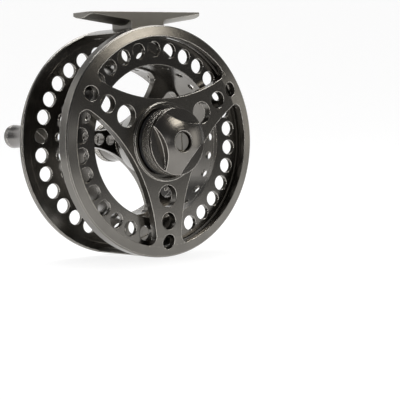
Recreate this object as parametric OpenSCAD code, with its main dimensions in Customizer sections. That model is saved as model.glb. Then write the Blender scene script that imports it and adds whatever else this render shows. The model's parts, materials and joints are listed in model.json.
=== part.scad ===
// Fly reel with a half frame, a large open arbor and a disc drag.
// +Z points out of the rod seat face, +X runs along the rod, +Y points to the handle side.
// The origin is the centre of the foot's seat face.
// Depths are measured along +Y from the front edge of the frame ring, and angles from +X towards +Z.

/* [Reel] */
// Radius of the frame ring and of the spool's rear rim
reel_r = 47.5; // [40:0.5:60]
// Height of the rod seat face above the frame ring
seat_rise = 5.9; // [5.6:0.1:9]
// Depth of the foot's middle behind the ring's front edge
foot_depth = 14; // [13:0.5:20]
// Overall depth of the spool's rear face
spool_back = 34.4; // [33:0.2:42]

/* [Frame] */
// Radial width of the ring
ring_w = 4; // [3:0.1:6]
// Depth of the ring's side wall
ring_depth = 5.4; // [4:0.1:7]
// Height of the flat face in front of the ring's edge
face_rise = 2; // [1:0.1:3]
// Radial width of the sloping band outside the flat face
slope_w = 8; // [5:0.1:12]
// Depth of the back of the spokes
plate_back = 1.5; // [1:0.1:2]
// Land between the collar and a window
window_land = 1.45; // [1:0.05:5]
// Half angle between the sharp corners of a window
window_half = 51.5; // [45:0.5:55]
// Radius of a window's corners
window_corner = 3.4; // [1:0.1:4]
// Radii of the three lightening holes in each spoke, inner to outer
hole_r = [4.55, 3.5, 3.05]; // [2:0.05:6]
// Distances of those holes from the axis
hole_at = [22.3, 32.5, 41.1]; // [20:0.1:42]
// Thickness of the two pillars
pillar_t = 2; // [1.6:0.1:3]
// Half angle of the top pillar
top_half = 19; // [14:0.5:24]
// Half angle of the bottom pillar
bottom_half = 15; // [10:0.5:20]
// Gap between a pillar's end and the spool's rear rim
pillar_gap = 0.8; // [0.4:0.1:2]
// Radial wall of the raised collar round the knob
collar_w = 1.15; // [0.8:0.05:2]
// Height of the collar above the flat face
collar_rise = 1; // [0.5:0.1:2]
// Thickness of the floor between the knob pocket and the drag cup
floor_t = 3; // [2.5:0.1:4]

/* [Foot] */
// Length of the foot
foot_l = 57.5; // [50:0.5:70]
// Width of the foot
foot_w = 13.6; // [12:0.1:15]
// Depth of the rounded underside below its side edges
foot_sag = 2; // [1.6:0.1:3]
// Height of the side edge at the tips
tip_t = 0.4; // [0.3:0.05:1]
// Fall of each ramp from the tip to the stem
ramp_fall = 2.8; // [1.5:0.1:3]
// Length of the stem along the rod
stem_l = 16.5; // [12:0.5:22]
// Radius of the fillet between the stem and a ramp
stem_fillet = 1.5; // [1:0.1:2]
// Distance between the two foot screws
screw_pitch = 8; // [7:0.1:10]

/* [Drag] */
// Radius of the drag knob
knob_r = 13.7; // [12.5:0.1:16]
// Height of the knob's grip above the collar
knob_rise = 7.5; // [6:0.1:9]
// Height of the knob's dome
dome_h = 3.6; // [2.5:0.1:4.5]
// Radius of the recess in the middle of the dome
recess_r = 4.2; // [3.8:0.1:5]
// Inner radius of the drag cup
cup_r = 11.4; // [11.2:0.1:12.5]
// Wall of the drag cup at its rear end
cup_wall = 1.4; // [1.2:0.1:2]
// Thickness of a drag disc
disc_t = 0.8; // [0.5:0.05:1.2]
// Thickness of the steel plates of the drag
plate_t = 1.5; // [1:0.1:2]
// Travel of the pressure plate over the knob's turn
press_travel = 0.6; // [0.3:0.05:0.8]
// Radius of the push pins
push_pin_r = 1.2; // [0.8:0.05:1.5]
// Distance of the push pins from the axis
push_pin_at = 8.8; // [8.4:0.1:9.5]

/* [Spindle] */
// Radius of the spindle
spindle_r = 3; // [2.8:0.05:3.2]
// Radius of the spindle's end thread
thread_r = 2.5; // [2:0.05:2.6]
// Outer radius of the rotor tube, on which the one-way clutch turns
tube_r = 5; // [4.6:0.05:5.4]

/* [Spool] */
// Outer radius of the arbor drum
drum_r = 32.8; // [28:0.1:36]
// Wall of the arbor drum
drum_wall = 1.2; // [1:0.1:2]
// Thickness of the front flange
flange_t = 2; // [1.5:0.1:3]
// Depth of the front flange behind the ring's front edge
flange_front = 3.6; // [3.4:0.1:4]
// Thickness of the rear rim
rim_t = 2.1; // [1.6:0.1:3]
// Radial width of the rear rim
rim_w = 4; // [3:0.1:5]
// Recess of the rear web in front of its rim
web_recess = 0.5; // [0.2:0.1:0.8]
// Number of holes in each flange
flange_holes = 30; // [20:1:36]
// Radius of a flange hole
flange_hole_r = 3.1; // [2:0.05:3.3]
// Number of holes in each row round the drum
drum_holes = 25; // [16:1:30]
// Radius of a drum hole
drum_hole_r = 1.6; // [1:0.05:2.2]
// Thickness of the spool's three spokes
spoke_t = 3.2; // [2.5:0.1:4.5]
// Depth of the spokes' front faces behind the ring's front edge
spoke_front = 21.4; // [18:0.1:23]
// Land between the hub and a spool window
spoke_land = 0.7; // [0.4:0.05:4]
// Half angle between the sharp corners of a spool window
spool_half = 51; // [46:0.5:54]
// Angle of the handle, and of the spool spoke in line with it
handle_angle = 174; // [160:1:190]
// Wall of the hub round the click ring
hub_lip = 1.1; // [0.8:0.05:2]
// Wall of the hub round the clutch
hub_wall = 1.2; // [0.9:0.05:2]
// Gap between the drag cup and the hub
hub_gap = 0.7; // [0.5:0.1:1]

/* [Handle and cap] */
// Radius of the handle
handle_r = 4.9; // [4:0.1:6]
// Length of the handle
handle_l = 18.4; // [14:0.1:24]
// Radius of the handle's post
post_r = 2.4; // [2:0.1:2.8]
// Radius of the spool cap
cap_r = 8.5; // [7.5:0.1:9]
// Height of the spool cap
cap_h = 4.2; // [3.5:0.1:6]

/* [Hidden] */
$fn = 96;
eps = 0.01;          // overlap of joined shapes
past = 1;            // how far a cut runs past a face
running = 0.05;      // radial clearance of a running fit
play = 0.05;         // axial gap between faces that turn against each other
seat = 0.02;         // gap between pieces that are fitted into each other
corner_over = 0.03;  // how far a window's rounded corner reaches past the edges that it joins
window_over = 0.05;  // how far a window in the spokes reaches past the ring's inner edge
cup_foot_land = 0.4; // land between the cup's foot and a window

// Frame
frame_spokes = [30, 150, 270];
edge_r = 0.5;
ring_in = reel_r - ring_w;
slope_in = reel_r - slope_w;
face = -face_rise;
window_out = ring_in - 0.4;
slope_end = -edge_r * face_rise / slope_w;
slope_at_window = face + (window_out - slope_in) * (slope_end - face) / (reel_r - edge_r - slope_in);
pillar_end = spool_back - rim_t - pillar_gap;
pocket_r = knob_r + 1.3;
collar_r = pocket_r + collar_w;
window_near = collar_r + window_land;
collar_top = face - collar_rise;
pocket_floor = -0.5;
cup_floor = pocket_floor + floor_t;

// Foot
axis_drop = reel_r + seat_rise;
foot_screw_r = 1.5;
foot_screw_head_r = 2.8;
foot_screw_head_h = 1.2;
foot_screw_end = 1.6;
foot_key_r = 1.15;
screw_base = sqrt(pow(reel_r - pillar_t, 2) - pow(foot_screw_head_r, 2)) + 0.05;
foot_key_h = 0.7;
tip_corner = 2.5;

// Drag stack, front to back
shoulder_r = 6;
shoulder_t = 1.4;
clip_angle = 90;
clip_ear_turn = 11;
clip_ear_r = 1;
clip_gap = 2.5;
disc_in = shoulder_r + 0.5;
disc_out = cup_r - 0.5;
press_z = cup_floor + 0.7;
press_in = shoulder_r + 0.4;
disc_a_z = press_z + plate_t + press_travel + play;
rotor_z = disc_a_z + disc_t + play;
disc_b_z = rotor_z + plate_t + play;
back_plate_z = disc_b_z + disc_t + play;
clip_z = back_plate_z + plate_t + play;
clip_t = 1;
clip_in = cup_r - 1.4;
clip_out = cup_r + 0.6;
cover_z = clip_z + clip_t + play;
cover_t = 2.4;
cup_end = cover_z + cover_t;
neck_r = clip_in - 0.2;
neck_z = clip_z + play;
seal_r = tube_r + 1.6;
seal_t = 1.4;
lip_w = 0.5;
lip_t = 0.4;

// Click
click_r = 0.8;
click_wall = 0.8;
click_at = seal_r + click_r + click_wall;
click_well_z = neck_z + 0.4;
click_spring_l = 1.3;
click_wire = 0.25;
click_angle = 270;
click_teeth = 24;
click_slot_r = click_r + 0.15;

// Spindle and knob
nut_flats_r = 5;
nut_t = 3;
nut_z = pocket_floor - nut_t;
knob_back = pocket_floor - press_travel - 0.1;
knob_front = collar_top - knob_rise;
dome_top = knob_front - dome_h;
spring_in = shoulder_r + 0.8;
spring_out = knob_r - 3.2;
push_ring_t = 1.5;
push_ring_z = pocket_floor - press_travel - 0.2 - push_ring_t;
washer_t = 0.5;
washer_h = 1;
washers = 3;
spring_z = push_ring_z - washers * washer_h;
knob_ceiling = spring_z - play;
cavity_r = knob_r - 2.7;
insert_r = 5.2;
insert_end = nut_z - press_travel - 0.1;
insert_l = 5.6;
insert_z = insert_end - insert_l;
knob_web_t = 1.3;
recess_floor = insert_z - knob_web_t;
screw_head_r = 3.4;
screw_head_h = 1.5;
screw_r = 1.5;
screw_l = 6;
screw_end = 0.5;
screw_hole_r = screw_r + 0.35;
screw_slot_w = 0.8;
spindle_front = insert_z + press_travel + 0.2;
groove_r = knob_r - 0.9;
knob_seal_r = 0.9;
knob_seal_z = knob_back - knob_seal_r - 0.2;
scallops = 3;
scallop_r = 25;
scallop_depth = 0.6;
scallop_at = 8;
scallop_angle = 75;
knob_chamfer = 0.5;
knurl_end = 0.4;
dome_r = (pow(knob_r - knob_chamfer, 2) + dome_h * dome_h) / (2 * dome_h);
dome_centre = dome_top + dome_r;
rib_count = 60;
rib_r = 0.35;
knurl_l = 5;

// Hub, clutch and bearing
click_ring_t = 1.2;
click_ring_r = click_at + 1.7;
click_ring_in = tube_r + 1;
hub_z = cup_end + hub_gap;
clutch_r = tube_r + 2;
hub_r = click_ring_r + hub_lip;
hub_back_r = clutch_r + hub_wall;
spool_near = hub_back_r + spoke_land;
clutch_l = 12;
clutch_z = hub_z + click_ring_t + play;
clutch_end = clutch_z + clutch_l;
tube_end = clutch_end - 0.3;
shell_t = 0.7;
roller_r = 0.6;
rollers = 12;
roller_l = 10;
bearing_r = 6.5;
bearing_w = 5;
bearing_z = spool_back - bearing_w - 0.5;
bearing_mid = bearing_z + bearing_w / 2;
ball_r = 0.95;
ball_at = (bearing_r + spindle_r) / 2;
balls = 8;
race_land = 0.75;
cage_r = 0.35;
hub_bore_r = tube_r + 0.5;
bush_wall = 0.8;
bush_l = 5;

// Spool
front_r = ring_in - 0.45;
drum_in = drum_r - drum_wall;
front_end = flange_front + flange_t;
rim_z = spool_back - rim_t;
web_z = rim_z + web_recess;
hole_ring = (drum_r + front_r) / 2;
handle_hole = floor(handle_angle * flange_holes / 360);
hole_phase = handle_angle % (360 / flange_holes);
drum_row_land = 1.4;
drum_row_depths = [front_end + drum_hole_r + drum_row_land, web_z - drum_hole_r - 2 * drum_row_land];
drum_phase = handle_angle % (360 / drum_holes);
spider_land = 0.7;
spoke_hole_r = [2.1, 2.45];
spoke_hole_at = [11.2, 16.8];

// Handle
handle_at = hole_ring;
handle_seat_t = 0.8;
post_flange_r = 4.2;
post_flange_t = 0.9;
post_z = spool_back;
washer_z = post_z + post_flange_t;
handle_washer_t = 0.3;
grip_z = washer_z + handle_washer_t + play;
grip_end = grip_z + handle_l;
grip_recess = 2.2;
grip_edge = 0.5;
end_screw_room = 0.3;
post_end = grip_end - grip_recess - play;
post_screw_r = 1.5;
post_screw_head_r = 2.9;
post_screw_head_h = 0.7;
post_screw_l = 8;
handle_slot_w = 0.8;
handle_slot_h = 0.4;
handle_slot_turn = 35;
end_screw_head_r = 3.6;
end_screw_head_h = 1;
end_screw_r = 1.2;
end_screw_l = 6;
waist = 0.5;
cap_gap = 0.3;
cap_z = spool_back + cap_gap;
cap_seal_r = 0.5;
cap_seal_at = 6.9;
cap_seal_z = spool_back + cap_seal_r;
cap_chamfer = 1;
cap_rib_end = 0.5;
cap_boss_r = 4;
cap_slot_w = 1.8;
cap_slot_h = 1;
end_thread_in = spool_back - bearing_z - bearing_w;
spindle_end = cap_z + cap_h - cap_slot_h - 0.8;
cap_ribs = 36;

// Places its children on the spin axis, with their z along +Y.
module on_axis() {
    translate([0, -foot_depth, -axis_drop]) rotate([-90, 0, 0]) children();
}

// Places its children at an angle about the spin axis and a distance from it.
module polar(angle, distance) {
    rotate([0, 0, -angle]) translate([distance, 0, 0]) children();
}

module disc(r, z, t) {
    translate([0, 0, z]) cylinder(r = r, h = t);
}

module tube(r_out, r_in, z, t) {
    difference() {
        disc(r_out, z, t);
        disc(r_in, z - past, t + 2 * past);
    }
}

module ring_of(r, at, z) {
    translate([0, 0, z]) rotate_extrude() translate([at, 0]) circle(r = r, $fn = 48);
}

// Radius of the circle that bounds a window's inner side: it passes `near` from the axis
// and meets the outer circle at the angle `half` from the window's middle.
function inner_r(outer, near, half) =
    (outer * outer - 2 * outer * near * cos(half) + near * near) / (2 * (outer * cos(half) - near));

// A window between two spokes, pointing along +x: the overlap of the circle `outer` about the
// axis and a larger circle further out, with its two corners rounded to `corner`.
module window_2d(outer, near, half, corner) {
    big = inner_r(outer, near, half);
    apart = near + big;
    a = outer - corner;
    b = big - corner;
    turn = acos((a * a + apart * apart - b * b) / (2 * a * apart));
    centre = [a * cos(turn), a * sin(turn)];
    on_outer = [outer * cos(turn), outer * sin(turn)];
    outward = (centre - [apart, 0]) / b;
    on_inner = [apart, 0] + outward * big;
    chord = on_outer - on_inner;
    lean = atan2(chord[1], chord[0]);
    difference() {
        intersection() {
            circle(r = outer, $fn = 180);
            translate([apart, 0]) circle(r = big, $fn = 180);
        }
        for (side = [0, 1]) mirror([0, side]) translate(on_inner) rotate(lean)
            translate([-outer, 0]) square([2 * outer, outer]);
    }
    for (side = [0, 1]) mirror([0, side]) translate(centre) circle(r = corner + corner_over, $fn = 48);
}

module windows(outer, near, half, corner, angles, z, t) {
    for (a = angles) translate([0, 0, z]) rotate([0, 0, -a]) linear_extrude(t)
        window_2d(outer, near, half, corner);
}

// A pillar along the reel, centred on an angle, with a rounded rear end. Its front end fills the
// ring's rear edge.
module pillar(angle, half) {
    inner = reel_r - pillar_t;
    round_z = pillar_end - pillar_t / 2;
    rotate([0, 0, -angle - half]) rotate_extrude(angle = 2 * half, $fn = 180) {
        polygon([[inner, ring_depth], [reel_r - edge_r, ring_depth], [reel_r, ring_depth - edge_r],
            [reel_r, round_z], [inner, round_z]]);
        translate([inner + pillar_t / 2, round_z]) circle(r = pillar_t / 2, $fn = 32);
    }
}

// The lightening holes of the three spokes.
module spoke_holes() {
    for (a = frame_spokes, i = [0:len(hole_r) - 1]) polar(a, hole_at[i])
        disc(hole_r[i], face - past, plate_back - face + 2 * past);
}

// The bores through the middle of the frame: for the spindle and the push pins.
module frame_bores() {
    disc(spindle_r, collar_top, cup_end);
    for (i = [0:2]) polar(90 + i * 120, push_pin_at)
        disc(push_pin_r + running, collar_top, cup_end - collar_top);
}

// The outer ring, with a sloped face.
module frame_ring() {
    color("dimgray") on_axis() difference() {
        rotate_extrude($fn = 180)
            polygon([[window_out, slope_at_window], [reel_r - edge_r, slope_end], [reel_r, edge_r],
                [reel_r, ring_depth - edge_r], [reel_r - edge_r, ring_depth], [ring_in, ring_depth],
                [ring_in, plate_back], [window_out, plate_back]]);
        spoke_holes();
    }
}

// The three spokes, the collar and the pocket of the knob.
module frame_spokes_plate() {
    color("dimgray") on_axis() difference() {
        union() {
            rotate_extrude($fn = 180)
                polygon([[0, face], [slope_in, face], [window_out, slope_at_window], [window_out, plate_back],
                    [0, plate_back]]);
            disc(collar_r, collar_top, collar_rise + eps);
        }
        windows(window_out + window_over, window_near, window_half, window_corner,
            [for (a = frame_spokes) a + 60], face - past, plate_back - face + 2 * past);
        spoke_holes();
        disc(pocket_r, collar_top - past, pocket_floor - collar_top + past);
        frame_bores();
    }
}

// The drag's cup, on the back of the plate.
module drag_cup() {
    color("dimgray") on_axis() difference() {
        translate([0, 0, plate_back])
            cylinder(r1 = window_near - cup_foot_land, r2 = cup_r + cup_wall, h = cup_end - plate_back);
        disc(cup_r, cup_floor, cup_end - cup_floor + past);
        disc(clip_out + seat, clip_z - seat, clip_t + 2 * seat);
        frame_bores();
    }
}

// The two pillars that carry the foot and guard the spool.
module frame_pillars() {
    color("dimgray") on_axis() difference() {
        union() {
            pillar(90, top_half);
            pillar(270, bottom_half);
        }
        foot_screw_shapes(seat);
    }
}

// Shapes of the two foot screws, in the axis frame, grown by a clearance. A positive gap also
// carries the head on past the pillar, for a cut.
module foot_screw_shapes(gap) {
    head_r = foot_screw_head_r + gap;
    more = past * sign(gap);
    for (side = [-1, 1]) translate([0, 0, foot_depth + side * screw_pitch / 2]) rotate([90, 0, 0]) {
        disc(foot_screw_r + gap, screw_base, axis_drop - foot_screw_end - screw_base);
        translate([0, 0, screw_base]) cylinder(r1 = head_r, r2 = foot_screw_r + gap, h = foot_screw_head_h);
        translate([0, 0, screw_base - more]) cylinder(r = head_r, h = more + eps);
    }
}

// The foot's underside is a cylinder along each ramp, tilted so that its side edges fall to the stem.
module foot() {
    side_r = (foot_w * foot_w / 4 + foot_sag * foot_sag) / (2 * foot_sag);
    ramp_l = (foot_l - stem_l) / 2;
    tilt = atan2(ramp_fall, ramp_l);
    stem_top = tip_t + ramp_fall;
    color("gray") difference() {
        union() {
            for (side = [0, 1]) mirror([side, 0, 0]) intersection() {
                translate([0, 0, -stem_top - foot_sag]) linear_extrude(stem_top + foot_sag) half_outline();
                translate([foot_l / 2, 0, -tip_t - foot_sag + side_r]) rotate([0, -90 - tilt, 0])
                    translate([0, 0, -foot_l / 4]) cylinder(r = side_r, h = foot_l, $fn = 180);
            }
            translate([0, foot_w / 2, 0]) rotate([90, 0, 0]) linear_extrude(foot_w) stem_2d(stem_top);
        }
        translate([0, 0, -axis_drop]) rotate([90, 0, 0])
            cylinder(r = reel_r, h = 2 * foot_w, center = true, $fn = 180);
        on_axis() foot_screw_shapes(seat);
    }
}

// One half of the foot in plan, with rounded corners at its tip.
module half_outline() {
    square_l = foot_l / 2 - tip_corner;
    translate([0, -foot_w / 2]) square([square_l, foot_w]);
    translate([square_l - eps, tip_corner - foot_w / 2]) square([tip_corner + eps, foot_w - 2 * tip_corner]);
    for (side = [-1, 1]) translate([square_l, side * (foot_w / 2 - tip_corner)])
        circle(r = tip_corner, $fn = 48);
}

// The stem seen along the spin axis, with a fillet to each ramp.
module stem_2d(top) {
    foot_bottom = seat_rise + 1;
    difference() {
        translate([-stem_l / 2 - stem_fillet, -foot_bottom])
            square([stem_l + 2 * stem_fillet, foot_bottom - top / 2]);
        for (side = [-1, 1]) translate([side * (stem_l / 2 + stem_fillet), -top - stem_fillet]) {
            circle(r = stem_fillet, $fn = 48);
            translate([-stem_fillet, -foot_bottom]) square([2 * stem_fillet, foot_bottom]);
        }
    }
}

module foot_screws() {
    color("silver") on_axis() difference() {
        foot_screw_shapes(0);
        for (side = [-1, 1]) translate([0, 0, foot_depth + side * screw_pitch / 2]) rotate([90, 0, 0])
            translate([0, 0, screw_base - past]) cylinder(r = foot_key_r, h = past + foot_key_h, $fn = 6);
    }
}

// The spindle is fixed in the frame: thread, shoulder, journal and end thread.
module spindle() {
    color("silver") on_axis() difference() {
        union() {
            disc(spindle_r, spindle_front, spool_back - spindle_front - end_thread_in);
            disc(shoulder_r, cup_floor, shoulder_t);
            disc(thread_r, spool_back - end_thread_in - eps, spindle_end - spool_back + end_thread_in + eps);
        }
        disc(screw_r, spindle_front - past, screw_l + past);
    }
}

module spindle_nut() {
    color("silver") on_axis() difference() {
        translate([0, 0, nut_z]) cylinder(r = nut_flats_r / cos(30), h = nut_t, $fn = 6);
        disc(spindle_r, nut_z - past, nut_t + 2 * past);
    }
}

module drag_discs() {
    color("black") on_axis() for (z = [disc_a_z, disc_b_z]) tube(disc_out, disc_in, z, disc_t);
}

module back_plate() {
    color("silver") on_axis() tube(cup_r - seat, hub_bore_r, back_plate_z, plate_t);
}

// A snap ring with two ears and a gap, in the cup's groove.
module retaining_ring() {
    color("silver") on_axis() translate([0, 0, clip_z]) linear_extrude(clip_t) rotate(-clip_angle)
        difference() {
            union() {
                difference() {
                    circle(r = clip_out);
                    circle(r = clip_in);
                }
                for (side = [-1, 1]) rotate(side * clip_ear_turn) translate([clip_in, 0])
                    circle(r = clip_ear_r);
            }
            translate([0, -clip_gap / 2]) square([clip_out + past, clip_gap]);
            for (side = [-1, 1]) rotate(side * clip_ear_turn) translate([clip_in, 0])
                circle(r = clip_ear_r / 3, $fn = 32);
        }
}

// The cover closes the drag cup, and holds the lip seal and the click pin.
module drag_cover() {
    color("dimgray") on_axis() difference() {
        union() {
            disc(cup_r - seat, cover_z, cover_t);
            disc(neck_r, neck_z, cover_z - neck_z + eps);
        }
        disc(hub_bore_r, neck_z - past, cup_end - neck_z + 2 * past);
        disc(seal_r, cup_end - seal_t, seal_t + past);
        polar(click_angle, click_at) disc(click_r + running, click_well_z, cup_end);
        for (side = [-1, 1]) polar(clip_angle + side * clip_ear_turn, clip_in)
            disc(clip_ear_r + play, neck_z - past, cover_z - neck_z + past);
    }
}

// A rubber ring whose lip runs on the rotor tube.
module cover_seal() {
    lip = tube_r + running;
    root = cup_end - seal_t;
    color("black") on_axis() rotate_extrude()
        polygon([[seal_r, root], [seal_r, cup_end], [lip + lip_w, cup_end],
            [lip, cup_end - lip_t / 2], [lip, cup_end - lip_t], [lip + lip_w, root + lip_t],
            [lip + lip_w, root]]);
}

// The click pin stands in the cover, with its round nose just short of the click ring's slots.
module click_pin() {
    nose = cup_end + hub_gap - play;
    back = click_well_z + click_spring_l;
    color("silver") on_axis() polar(click_angle, click_at) {
        disc(click_r, back, nose - click_r - back);
        translate([0, 0, nose - click_r]) sphere(r = click_r, $fn = 48);
    }
}

module click_spring() {
    color("silver") on_axis() polar(click_angle, click_at)
        tube(click_r - play, click_r - play - click_wire, click_well_z, click_spring_l - play);
}

module push_ring() {
    color("silver") on_axis() tube(spring_out, press_in, push_ring_z, push_ring_t);
}

module push_pins() {
    color("silver") on_axis() for (i = [0:2]) polar(90 + i * 120, push_pin_at)
        disc(push_pin_r, push_ring_z + push_ring_t, press_z - push_ring_z - push_ring_t);
}

module pressure_plate() {
    color("silver") on_axis() tube(disc_out, press_in, press_z, plate_t);
}

// Three dished washers, turned about in pairs.
module drag_spring() {
    color("silver") on_axis() for (i = [0:washers - 1]) {
        low = i % 2 == 0 ? 0 : washer_h - washer_t;
        high = washer_h - washer_t - low;
        translate([0, 0, spring_z + i * washer_h]) rotate_extrude() polygon([[spring_in, low],
            [spring_out, high], [spring_out, high + washer_t], [spring_in, low + washer_t]]);
    }
}

// The knob: a ribbed grip, a dome with three scallops, and a cavity for the spring.
module drag_knob() {
    grip_back = knob_seal_z - knob_seal_r;
    color("dimgray") on_axis() difference() {
        rotate_extrude() {
            polygon([[0, knob_front], [knob_r - knob_chamfer, knob_front], [knob_r, knob_front + knob_chamfer],
                [knob_r, grip_back], [groove_r, grip_back], [groove_r, knob_back], [0, knob_back]]);
            intersection() {
                translate([0, dome_centre]) circle(r = dome_r, $fn = 180);
                translate([0, dome_top]) square([knob_r - knob_chamfer, dome_h + eps]);
            }
        }
        disc(cavity_r, knob_ceiling, knob_back - knob_ceiling + past);
        disc(insert_r, insert_z, knob_back - insert_z);
        disc(screw_hole_r, recess_floor - past, insert_z - recess_floor + 2 * past);
        disc(recess_r, dome_top - past, recess_floor - dome_top + past);
        for (i = [0:rib_count - 1]) polar(i * 360 / rib_count, knob_r + rib_r / 2)
            disc(rib_r, grip_back - knurl_l - knurl_end, knurl_l);
        for (i = [0:scallops - 1]) polar(scallop_angle + i * 360 / scallops, scallop_at + scallop_r)
            disc(scallop_r, dome_top - past, dome_h + past + scallop_depth, $fn = 180);
    }
}

module knob_insert() {
    color("gold") on_axis() tube(insert_r, spindle_r + running, insert_z, insert_l);
}

module knob_seal() {
    color("black") on_axis() ring_of(knob_seal_r / 2, groove_r + knob_seal_r / 2, knob_seal_z);
}

// A slotted screw in the spindle's end, which stops the knob as it backs off.
module knob_screw() {
    head_z = recess_floor - play - screw_head_h;
    shank_z = head_z + screw_head_h;
    color("gold") on_axis() difference() {
        union() {
            disc(screw_head_r, head_z, screw_head_h);
            disc(screw_r, shank_z - eps, spindle_front + screw_l - shank_z - screw_end);
        }
        translate([-screw_slot_w / 2, -screw_head_r - past, head_z - past])
            cube([screw_slot_w, 2 * (screw_head_r + past), past + screw_head_h / 2]);
    }
}

// The rotor turns with the line's pull: its disc is gripped between the drag discs.
module drag_rotor() {
    color("silver") on_axis() difference() {
        union() {
            disc(disc_out, rotor_z, plate_t);
            disc(tube_r, rotor_z, tube_end - rotor_z);
        }
        disc(spindle_r + bush_wall, rotor_z - past, tube_end - rotor_z + 2 * past);
    }
}

module rotor_bushes() {
    color("gold") on_axis() for (z = [rotor_z, tube_end - bush_l])
        tube(spindle_r + bush_wall, spindle_r + running, z, bush_l);
}

// The holes round a flange, but for the one that holds the handle's screw where `handle` is true.
module flange_hole_ring(z, t, handle) {
    for (i = [0:flange_holes - 1]) if (!handle || i != handle_hole)
        polar(hole_phase + i * 360 / flange_holes, hole_ring) disc(flange_hole_r, z - past, t + 2 * past);
}

module spool_front_flange() {
    color("dimgray") on_axis() difference() {
        rotate_extrude($fn = 180)
            polygon([[drum_in, flange_front], [front_r - edge_r, flange_front],
                [front_r, flange_front + edge_r],
                [front_r, front_end], [drum_in, front_end]]);
        flange_hole_ring(flange_front, flange_t, false);
    }
}

// The drum that the backing is wound on, with two rows of holes.
module spool_drum() {
    color("dimgray") on_axis() difference() {
        tube(drum_r, drum_in, front_end, web_z - front_end, $fn = 180);
        for (z = drum_row_depths, i = [0:drum_holes - 1])
            polar(drum_phase + i * 360 / drum_holes, drum_in - past) translate([0, 0, z])
                rotate([0, 90, 0]) cylinder(r = drum_hole_r, h = drum_wall + 2 * past, $fn = 32);
    }
}

// The rear flange: a web with a raised rim, and the seat of the handle.
module spool_rear_flange() {
    color("dimgray") on_axis() difference() {
        rotate_extrude($fn = 180)
            polygon([[drum_in, web_z], [reel_r - rim_w, web_z], [reel_r - rim_w, rim_z],
                [reel_r - edge_r, rim_z],
                [reel_r, rim_z + edge_r], [reel_r, spool_back - edge_r], [reel_r - edge_r, spool_back],
                [drum_in, spool_back]]);
        flange_hole_ring(web_z, spool_back - web_z, true);
        polar(handle_angle, handle_at) {
            disc(flange_hole_r, web_z - past, past + handle_seat_t);
            disc(post_screw_r + seat, web_z, spool_back - web_z + past);
        }
    }
}

// The hub, on three spokes in the middle of the drum's depth.
module spool_hub() {
    spokes = [for (i = [0:2]) handle_angle + i * 120];
    color("dimgray") on_axis() difference() {
        union() {
            difference() {
                disc(drum_in - seat, spoke_front, spoke_t, $fn = 180);
                windows(drum_in - spider_land, spool_near, spool_half, window_corner, [for (a = spokes) a + 60],
                    spoke_front - past, spoke_t + 2 * past);
            }
            rotate_extrude() polygon([[0, hub_z], [hub_r, hub_z], [hub_back_r, spoke_front + edge_r],
                [hub_back_r, spool_back], [0, spool_back]]);
        }
        for (a = spokes, k = [0:1]) polar(a, spoke_hole_at[k])
            disc(spoke_hole_r[k], spoke_front - past, spoke_t + 2 * past);
        disc(click_ring_r, hub_z - past, past + click_ring_t);
        disc(clutch_r, hub_z - past, clutch_end - hub_z + past);
        disc(hub_bore_r, hub_z - past, spool_back - hub_z + 2 * past);
        disc(bearing_r, bearing_z, spool_back - bearing_z + past);
    }
}

// A toothed ring in the front of the hub.
module click_ring() {
    color("silver") on_axis() difference() {
        tube(click_ring_r, click_ring_in, hub_z, click_ring_t);
        for (i = [0:click_teeth - 1]) polar(click_angle + i * 360 / click_teeth, click_at)
            disc(click_slot_r, hub_z - past, click_ring_t + 2 * past);
    }
}

// The outer shell of the one-way clutch, with a lip at each end.
module clutch_shell() {
    color("silver") on_axis() {
        tube(clutch_r, clutch_r - shell_t, clutch_z, clutch_l);
        for (z = [clutch_z, clutch_end - shell_t]) tube(clutch_r - shell_t + eps, hub_bore_r, z, shell_t);
    }
}

module clutch_rollers() {
    at = tube_r + running + roller_r;
    color("silver") on_axis() for (i = [0:rollers - 1]) polar(i * 360 / rollers, at)
        disc(roller_r, clutch_z + (clutch_l - roller_l) / 2, roller_l);
}

module bearing_outer_ring() {
    color("silver") on_axis() difference() {
        tube(bearing_r, ball_at + race_land, bearing_z, bearing_w);
        ring_of(ball_r + play, ball_at, bearing_mid);
    }
}

module bearing_inner_ring() {
    color("silver") on_axis() difference() {
        tube(ball_at - race_land, spindle_r + running, bearing_z, bearing_w);
        ring_of(ball_r + play, ball_at, bearing_mid);
    }
}

module bearing_balls() {
    color("white") on_axis() for (i = [0:balls - 1]) polar(i * 360 / balls, ball_at)
        translate([0, 0, bearing_mid]) sphere(r = ball_r, $fn = 48);
}

// A ribbon cage beside the balls.
module bearing_cage() {
    color("gold") on_axis() difference() {
        ring_of(cage_r, ball_at, bearing_mid);
        for (i = [0:balls - 1]) polar(i * 360 / balls, ball_at)
            translate([0, 0, bearing_mid]) sphere(r = ball_r + play, $fn = 48);
    }
}

// The cap screws onto the spindle's end and keeps the spool on.
module spool_cap() {
    color("dimgray") on_axis() difference() {
        union() {
            rotate_extrude() polygon([[0, cap_z], [cap_r, cap_z], [cap_r, cap_z + cap_h - cap_chamfer],
                [cap_r - cap_chamfer, cap_z + cap_h], [0, cap_z + cap_h]]);
            disc(cap_boss_r, bearing_z + bearing_w + play, cap_z - bearing_z - bearing_w);
        }
        disc(thread_r + running, bearing_z, spindle_end - bearing_z + play);
        tube(cap_seal_at + cap_seal_r + seat, cap_seal_at - cap_seal_r - seat, cap_z - past,
            cap_seal_z + cap_seal_r + seat - cap_z + past);
        translate([-cap_slot_w / 2, -cap_r - past, cap_z + cap_h - cap_slot_h])
            cube([cap_slot_w, 2 * (cap_r + past), cap_slot_h + past]);
        for (i = [0:cap_ribs - 1]) polar(i * 360 / cap_ribs, cap_r + rib_r / 2)
            disc(rib_r, cap_z + cap_rib_end, cap_h - cap_chamfer - 2 * cap_rib_end);
    }
}

module cap_seal() {
    color("black") on_axis() ring_of(cap_seal_r - seat, cap_seal_at, cap_seal_z);
}

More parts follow.
